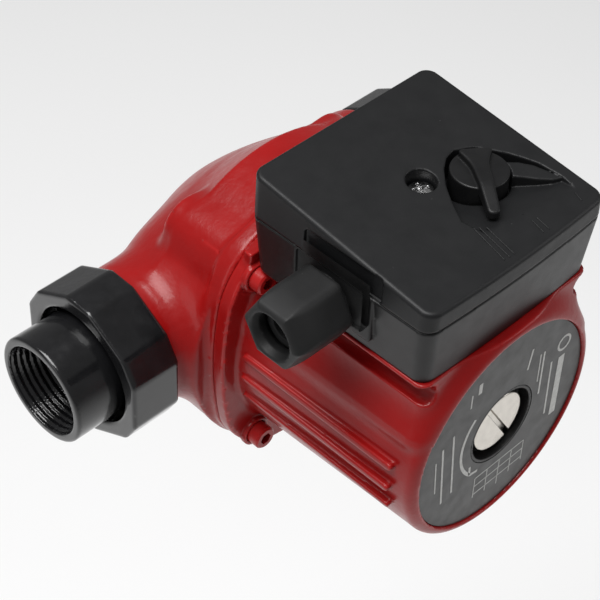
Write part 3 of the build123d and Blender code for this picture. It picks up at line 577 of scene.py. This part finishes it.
def union_tail(side):
    """Field of a tail with its collar and its tapered-in female pipe thread."""
    mouth = span("union_tail_outlet", 0)[1]

    def field(x, f, z):
        along = side * x
        around = np.hypot(f, z)
        tail = rod(around - TAIL_RADIUS, along, 68, mouth, 1.1)
        tail = filleted(tail, rod(around - TAIL_FLANGE, along, 68, 72, 0.4), 0.3)
        tail = cut(tail, around - WATERWAY, 0.4)
        phase = along / THREAD_PITCH - np.arctan2(z, f) * side / (2 * math.pi)
        ridge = np.abs(phase - np.floor(phase) - 0.5) * 2
        grown = np.clip((mouth - along) / 3, 0, 1)
        thread = around - 15.3 - 0.95 * ridge * grown - 1.0 * (1 - grown)
        return cut(tail, rounded(thread * 0.7, mouth - THREAD_LENGTH - along, 0.2), 0.15)
    return field


for side, end in ((-1, "inlet"), (1, "outlet")):
    reach = sorted((side * NUT_BACK, side * NUT_FRONT))
    carve(
        f"nut_{end}", union_nut(side, NUT_TURN[end]),
        (reach[0], -29, -29), (reach[1], 29, 29), 0.7,
        f"{end}_nut", LOOKS["union_black"], (f"union_nut_{end}",),
    )
    reach = sorted((side * 67.5, side * 97))
    carve(
        f"tail_{end}", union_tail(side), (reach[0], -23, -23), (reach[1], 23, 23), 0.5,
        "pump", LOOKS["union_black"], (f"union_tail_{end}",),
    )


# ---- terminal box ----------------------------------------------------------------------
BOW, BOX_CORNER = 1.3, 4.4
LID_SCREW, LID_SCREW_SEAT = (-1.2, 69.2), 70.0
GLAND = (72.0, 56.5)        # cable axis, (f, z)


def box_plan(x, f, half, back, front, r):
    """The box's outline: straight back and sides, a slightly bowed front, round corners."""
    bowed = front + BOW * (1 - np.clip((x / 39.5) ** 2, 0, 1))
    return rounded(np.abs(x) - half, np.maximum(back - f, f - bowed), r)


def terminal_box(x, f, z):
    """Open tray with the gland's pad, the lid screw's pillar and its floor holes."""
    t = np.clip((z - BOX_FLOOR) / (BOX_SEAM - BOX_FLOOR), 0, 1)
    outer = box_plan(x, f, 37.5 + 2.0 * t, 36.2 - 0.8 * t, 106.0 + 1.9 * t, BOX_CORNER)
    body = rounded(outer, slab(z, BOX_FLOOR, BOX_SEAM - 0.25), 0.5)
    pad = rounded(rectangle(f, z, (72.7, 55.3), (14, 8.7), 1), slab(x, -39.7, -34), 0.3)
    body = filleted(body, pad, 0.3)
    inner = box_plan(x, f, 35.3 + 2.0 * t, 38.4 - 0.8 * t, 103.8 + 1.9 * t, 2.2)
    body = cut(body, np.maximum(inner, BOX_FLOOR + 2.2 - z), 0.2)
    pillar = rod(disc(x, f, LID_SCREW, 4.2), z, BOX_FLOOR + 1, BOX_SEAM - 0.5, 0.3)
    body = cut(np.minimum(body, pillar), np.maximum(disc(x, f, LID_SCREW, 2.0), BOX_FLOOR + 6 - z), 0.1)
    body = cut(body, np.maximum(disc(f, z, GLAND, 6.9), x + 30), 0.2)
    body = cut(body, rounded(rectangle(x, f, *PLUG_HOLE), z - 50, 0.1), 0.1)
    for place in ((-26, 47), (26, 97), (-25, 97)):      # floor and earth screws
        body = cut(body, np.maximum(disc(x, f, place, 2.2), z - 46), 0.1)
    return body


carve(
    "box_base", terminal_box, (-41, 34, BOX_FLOOR), (41, 110, BOX_SEAM), 0.6,
    "pump", LOOKS["box_plastic"], ("terminal_box",),
)

# ---- terminal box lid ------------------------------------------------------------------
KNOB = (15.9, 77.2)
KNOB_RADIUS, KNOB_FACE = 9.2, 75.2
POINTER_ANGLE, POINTER_TIP = 234.0, 20.1
LID_FRONT_Z, LID_SLOPE = 70.9, 0.118
WELL_FLOOR, WELL_RADIUS = 66.4, 9.9
DIAL = [
    (8, 70), (3.2, 75.2), (-0.5, 81.1), (-3.9, 87.9), (-3.2, 90.8), (-2.2, 95.5),
    (4, 98.5), (17, 101), (31, 103), (33.6, 99.5), (34.2, 94.4), (32.9, 86.4),
    (30.9, 81.9), (28.6, 77.6), (25.8, 73.8), (20.7, 68.9), (16.2, 66.3), (12, 67.3),
]
ISLAND = [
    (24, 78), (25.7, 79.2), (28.8, 81.8), (31.4, 85.2), (33, 89.4),
    (34.4, 94.6), (31.4, 93.4), (27.9, 90.3), (24.9, 87.0), (22.2, 84.2),
]


def lid_top(f):
    """Height of the lid's surface."""
    return LID_FRONT_Z + LID_SLOPE * (107.9 - f)


def dial_floor(x, f):
    """The floor of the dial recess climbs to the front and comes out through the lid's surface."""
    return np.maximum(WELL_FLOOR, 72.1 - 0.22 * (97.8 + 0.2 * (x - KNOB[0]) - f))


def lid(x, f, z):
    """Sloping lid, hollow below, with the dial recess, screw well and gland pocket."""
    t = np.clip((z - BOX_SEAM) / 8, 0, 2)
    outer = box_plan(x, f, BOX_HALF - 0.5 * t, 35.4 - 0.2 * t, 107.9 + 0.1 * t, BOX_CORNER)
    body = rounded(outer, (z - lid_top(f)) * 0.993, 1.3)
    body = rounded(body, BOX_SEAM + 0.05 - z, 0.5)
    hollow = box_plan(x, f, BOX_HALF - 2.2, 37.6, 105.7, 2.2)
    hollow = np.maximum(hollow, z - lid_top(f) + 2.2)
    away = np.hypot(x - KNOB[0], f - KNOB[1])
    dial = filleted(outline(x, f, DIAL), away - WELL_RADIUS, 0.5)
    floor = dial_floor(x, f)
    hollow = np.maximum(hollow, -np.maximum(dial - 1.8, floor - 1.5 - z))
    hollow = cut(hollow, np.maximum(away - WELL_RADIUS - 1.5, WELL_FLOOR - 1.5 - z), 0.1)
    hollow = cut(hollow, disc(x, f, LID_SCREW, 6.4), 0.3)
    body = cut(body, hollow, 0.3)
    body = cut(body, rounded(dial, (floor - z) * 0.97, 0.4), 0.35)
    body = cut(body, rounded(away - WELL_RADIUS, WELL_FLOOR - z, 0.3), 0.2)
    # island left standing in the recess, behind a narrow slot
    island = np.maximum(outline(x, f, ISLAND), WELL_RADIUS - away)
    island = rounded(rounded(island, z - lid_top(f) + 0.5, 0.4), WELL_FLOOR - z, 0.1)
    body = np.minimum(body, island)
    body = cut(body, np.maximum(away - 3.4, z - 70), 0.1)
    body = cut(body, np.maximum(disc(x, f, LID_SCREW, 4.9), LID_SCREW_SEAT - z), 0.3)
    body = cut(body, disc(x, f, LID_SCREW, 2.2), 0.1)
    # pocket in the side above the gland's flange
    pocket = rounded(rectangle(f, z, (74, 68.4), (15.5, 4.3), 1.5), x + 38.3, 0.2)
    return cut(body, pocket, 0.4)


carve(
    "box_lid", lid, (-41, 34, BOX_SEAM - 0.2), (41, 110, LID_TOP + 0.5), 0.42,
    "pump", LOOKS["lid_plastic"], ("terminal_box_lid",),
)

# three bars, two bars and one bar for the three speeds, standing a little above the lid
MARKS = (
    ((-3.4, 92.2), (-5.6, 105.8)), ((-1.9, 93.0), (-3.5, 106.0)), ((-0.1, 94.2), (-1.5, 106.0)),
    ((12.8, 100.6), (11.9, 105.8)), ((14.8, 101.0), (14.2, 106.0)),
    ((32.0, 101.3), (31.0, 104.6)),
)


def speed_marks(x, f, z):
    """Low bars following the slope of the lid."""
    bars = np.full(x.shape, 9.0)
    for start, end in MARKS:
        bars = np.minimum(bars, segment(x, f, start, end, 0.55))
    height = z - lid_top(f)
    return rounded(bars, np.maximum(height - 0.22, -0.15 - height), 0.1)


carve(
    "speed_marks", speed_marks, (-6, 91.8, 70.8), (32.5, 106.5, 73.2), 0.15,
    "pump", LOOKS["lid_plastic"],
)


# ---- speed knob ------------------------------------------------------------------------
def speed_knob(x, f, z):
    """Round skirt with a tapering finger across it, and the stem down to the switch."""
    u, v = turned(x - KNOB[0], -(f - KNOB[1]), POINTER_ANGLE)
    skirt = rod(np.hypot(u, v) - KNOB_RADIUS, z, 66.9, KNOB_FACE, 0.5)
    stem = rod(np.hypot(u, v) - 3.0, z, 52, 68, 0.3)
    half = eased(u, ((-9, 6.4), (-6, 5.0), (-1, 3.1), (6, 2.4), (14, 2.1), (POINTER_TIP, 1.9)))
    wedge = rounded(np.abs(v) - half, slab(u, -7.6, POINTER_TIP), 1.8)
    wedge = rounded(wedge, slab(z, KNOB_FACE - 2.9, KNOB_FACE + 2.4), 0.9)
    finger = rounded(wedge, np.where(u > 8, 0.2 * (u - 8), 0) + z - KNOB_FACE - 2.4, 0.6)
    knob = filleted(skirt, finger, 0.5)
    return np.minimum(knob, stem)


carve(
    "selector_knob", speed_knob, (1, 60, 52), (28, 95, 78.5), 0.32,
    "speed_selector", LOOKS["knob_plastic"], ("speed_knob",),
)


# ---- cable gland -----------------------------------------------------------------------
GLAND_PLATE = (72.7, 61.2)


def gland_body(x, f, z):
    """Plate, rim and threaded neck, with the cable's bore."""
    around = np.hypot(f - GLAND[0], z - GLAND[1])
    plate = rounded(rectangle(f, z, GLAND_PLATE, (14.75, 8.8), 2), slab(-x, 39.8, 42.7), 0.5)
    rim = rounded(np.abs(rectangle(f, z, GLAND_PLATE, (13.9, 7.9), 2)) - 0.7, slab(-x, 42, 43.3), 0.3)
    neck = rod(around - 9.0, -x, 42, 59.2, 0.5)
    spigot = rod(around - 6.6, -x, 34.7, 41)
    body = filleted(np.minimum(np.minimum(plate, rim), spigot), neck, 0.4)
    body = cut(body, around - 5.4, 0.3)
    return cut(body, np.maximum(around - 7.2, 49 + x), 0.3)


def gland_nut(x, f, z):
    """Hexagon cap, drawn in towards its nose."""
    around = np.hypot(f - GLAND[0], z - GLAND[1])
    across = hexagon(f - GLAND[0], z - GLAND[1], 22.0, 0, 1.3)
    nose = np.clip((-x - 56) / 10, 0, 1)
    body = rounded(across + 1.5 * nose ** 2, slab(-x, 43.7, 66.0), 1.6)
    body = rounded(body, around - 12.4, 0.8)
    body = cut(body, np.maximum(around - 9.07, -x - 60.7), 0.3)
    return cut(body, around - 6.7 - np.clip((-x - 63.5) * 0.5, 0, 1.2), 0.6)


carve(
    "gland_base", gland_body, (-60, 59, 45), (-34, 85, 68), 0.45,
    "pump", LOOKS["gland_plastic"], ("gland_body",),
)
carve(
    "gland_cap", gland_nut, (-67, 58, 43), (-43, 86, 70), 0.4,
    "cable_nut", LOOKS["gland_plastic"], ("gland_nut",),
)


# ---- small screws ----------------------------------------------------------------------
def vent_screw(x, f, z):
    """Slotted plug at the end of the shaft."""
    around = np.hypot(x, z)
    head = rod(around - VENT_HEAD, f, 105.6, 108.6, 0.7)
    shank = rod(around - VENT_SHANK, f, 99.6, 106, 0.3)
    u, v = turned(x, z, -58.0)
    slot = np.maximum(np.abs(v) - 0.95, 107.0 - f)
    return cut(np.minimum(head, shank), slot, 0.25)


def lid_screw(x, f, z):
    """Cross-headed screw with a low dome."""
    around = disc(x, f, LID_SCREW, 4.2)
    dome = rounded(around, z - 72.6 + 0.035 * (around + 4.2) ** 2, 0.5)
    head = rounded(dome, LID_SCREW_SEAT - z, 0.2)
    shank = rod(disc(x, f, LID_SCREW, 1.9), z, 48.6, 70.5)
    u, v = turned(x - LID_SCREW[0], f - LID_SCREW[1], 20)
    arms = np.minimum(rectangle(u, v, (0, 0), (2.6, 0.55), 0.2), rectangle(u, v, (0, 0), (0.55, 2.6), 0.2))
    cross = np.maximum(arms + np.maximum(72.2 - z, 0) * 0.35, 70.6 - z)
    return cut(np.minimum(head, shank), cross, 0.12)


carve(
    "vent_plug", vent_screw, (-12, 99, -12), (12, 109, 12), 0.3,
    "vent_plug", LOOKS["vent_nickel"], ("vent_screw",),
)
carve(
    "lid_fixing", lid_screw, (-6, 64, 48), (4, 75, 73), 0.22,
    "pump", LOOKS["lid_screw_zinc"], ("lid_screw",),
)

# ---- nameplate: black cup painting the shade round the vent screw, and generic print ---
def vent_well_shade_cup(x, f, z):
    """Thin black cup round the vent screw's head: painted shade, a dark lining that stands in for the shadow
    deep in the vent well.
    """
    around = np.hypot(x, z)
    wall = rod(np.abs(around - 14.0) - 0.6, f, 104.7, 109.9, 0.2)
    floor = rod(np.abs(around - 13.2) - 1.3, f, 104.7, 105.3, 0.1)
    return np.minimum(wall, floor)


# painted shade: a black cup set in the vent well, darkening it where there is only shadow
carve(
    "vent_well_painted_shade", vent_well_shade_cup, (-15, 104, -15), (15, 110.5, 15), 0.3,
    "pump", LOOKS["box_plastic"],
)


def printed(name, strokes, material):
    """Flat strokes, each ((x, z), (x, z), width), printed on the nameplate."""
    points, faces = [], []
    front, behind = -(PLATE_FACE + 0.06) * MM, -(PLATE_FACE - 0.05) * MM
    for (ax, az), (bx, bz), width in strokes:
        long = math.hypot(bx - ax, bz - az)
        sx, sz = (bz - az) / long * width / 2, -(bx - ax) / long * width / 2
        corners = ((ax + sx, az + sz), (bx + sx, bz + sz), (bx - sx, bz - sz), (ax - sx, az - sz))
        n = len(points)
        points += [(x * MM, front, z * MM) for x, z in corners]
        points += [(x * MM, behind, z * MM) for x, z in corners]
        faces.append((n + 3, n + 2, n + 1, n))
        faces += [(n + k, n + (k + 1) % 4, n + 4 + (k + 1) % 4, n + 4 + k) for k in range(4)]
        faces.append((n + 4, n + 5, n + 6, n + 7))
    mesh = bpy.data.meshes.new(name)
    mesh.from_pydata(points, [], faces)
    mesh.update()
    mesh.materials.append(material)
    piece = bpy.data.objects.new(name, mesh)
    bpy.context.scene.collection.objects.link(piece)
    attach(piece, "pump")


def arc(centre, radius, start, end, count, width):
    """Short strokes along an arc, angles in degrees."""
    at = [math.radians(start + (end - start) * k / count) for k in range(count + 1)]
    ends = [(centre[0] + radius * math.cos(a), centre[1] + radius * math.sin(a)) for a in at]
    return [(p, q, width) for p, q in zip(ends, ends[1:])]


PRINT = [
    ((27.5, 11.8), (27.7, -15.5), 3.0),
    ((22.3, 12.4), (23.3, -12.5), 0.8),
    ((17.4, 20.5), (17.8, 1.0), 0.8),
    ((15.6, 20.5), (15.9, 8.0), 0.5),
    ((10.8, 26.2), (9.4, 18.0), 0.8),
    ((-13.9, 28.6), (-13.9, 24.2), 1.6),
    ((-17.5, 26.0), (-17.5, 20.3), 0.6),
    ((-24.2, 12.9), (-21.9, -15.4), 0.8),
    ((-28.8, 10.3), (-26.6, -17.0), 0.8),
    ((-31.5, 6.0), (-30.4, -9.0), 0.5),
    ((-13.6, -13.8), (-9.6, -14.6), 1.0),
    ((-13.6, -13.8), (-13.8, -9.8), 1.0),
]
PRINT += arc((27.6, 17.6), 2.9, 0, 360, 20, 0.9)
PRINT += arc((0, 0), 19.2, 138, 224, 16, 1.2)
PRINT += [((x, -18.4), (x, -30.5 + abs(x - 2) * 0.22), 0.35) for x in (-10, -4, 2, 8, 14)]
PRINT += [((-10, z), (14, z), 0.35) for z in (-18.4, -22.4, -26.4)]
ink = Surface("nameplate_print", 0.45)
ink.colour(ink.ramp(ink.noise(1.5, 3), (0.3, (0.50, 0.50, 0.48)), (0.7, (0.62, 0.62, 0.60))))
printed("nameplate_print", PRINT, ink.material)

# ---- light, floor and camera -----------------------------------------------------------
low, high = CAD_BOX
floor_mesh = bpy.data.meshes.new("floor")
FLOOR = 6.0
floor_z = low[2] - 0.6      # far enough down for its shadow to fade out
floor_mesh.from_pydata(
    [(-FLOOR, -FLOOR, floor_z), (FLOOR, -FLOOR, floor_z), (FLOOR, FLOOR, floor_z), (-FLOOR, FLOOR, floor_z)],
    [], [(0, 1, 2, 3)],
)
floor = bpy.data.objects.new("floor", floor_mesh)
bpy.context.scene.collection.objects.link(floor)
paper = Surface("floor_paper", 0.9, specular=0.1)
paper.colour(paper.ramp(paper.noise(400, 2), (0.3, (0.95, 0.95, 0.95)), (0.7, (0.96, 0.96, 0.96))))
floor_mesh.materials.append(paper.material)

world = bpy.data.worlds.new("studio")
world.use_nodes = True
world.node_tree.nodes["Background"].inputs["Color"].default_value = (1, 1, 1, 1)
world.node_tree.nodes["Background"].inputs["Strength"].default_value = 0.22
bpy.context.scene.world = world
bpy.context.scene.view_settings.view_transform = "Standard"


def softbox(name, place, target, size, power):
    """Rectangular area light turned towards a target."""
    light = bpy.data.lights.new(name, "AREA")
    light.shape = "RECTANGLE"
    light.size, light.size_y = size
    light.energy = power
    lamp = bpy.data.objects.new(name, light)
    bpy.context.scene.collection.objects.link(lamp)
    lamp.location = place
    lamp.rotation_euler = (Vector(place) - Vector(target)).to_track_quat("Z", "Y").to_euler()


softbox("key", (-0.5, 0.2, 2.2), (0, -0.05, 0), (1.6, 1.6), 70)
softbox("side", (1.0, -0.9, 0.6), (0, -0.05, 0), (0.4, 0.9), 3)
softbox("left", (-1.2, 0.1, 0.5), (0, 0, 0), (0.4, 0.9), 1.5)

CAMERA_PLACE = Vector((-0.30473, -0.31372, 0.39978))
AZIMUTH, ELEVATION, ROLL = math.radians(-46.052), math.radians(44.02), math.radians(2.075)
back = Vector((
    math.sin(AZIMUTH) * math.cos(ELEVATION),
    -math.cos(AZIMUTH) * math.cos(ELEVATION),
    math.sin(ELEVATION),
))
right = (-back).cross(Vector((0, 0, 1))).normalized()
up = right.cross(-back)
right, up = math.cos(ROLL) * right + math.sin(ROLL) * up, math.cos(ROLL) * up - math.sin(ROLL) * right
lens = bpy.data.cameras.new("camera")
lens.lens = 102.39
lens.sensor_width = 36
lens.clip_start, lens.clip_end = 0.01, 30
camera = bpy.data.objects.new("camera", lens)
bpy.context.scene.collection.objects.link(camera)
camera.matrix_world = Matrix.Translation(CAMERA_PLACE) @ Matrix((right, up, back)).transposed().to_4x4()
bpy.context.scene.camera = camera
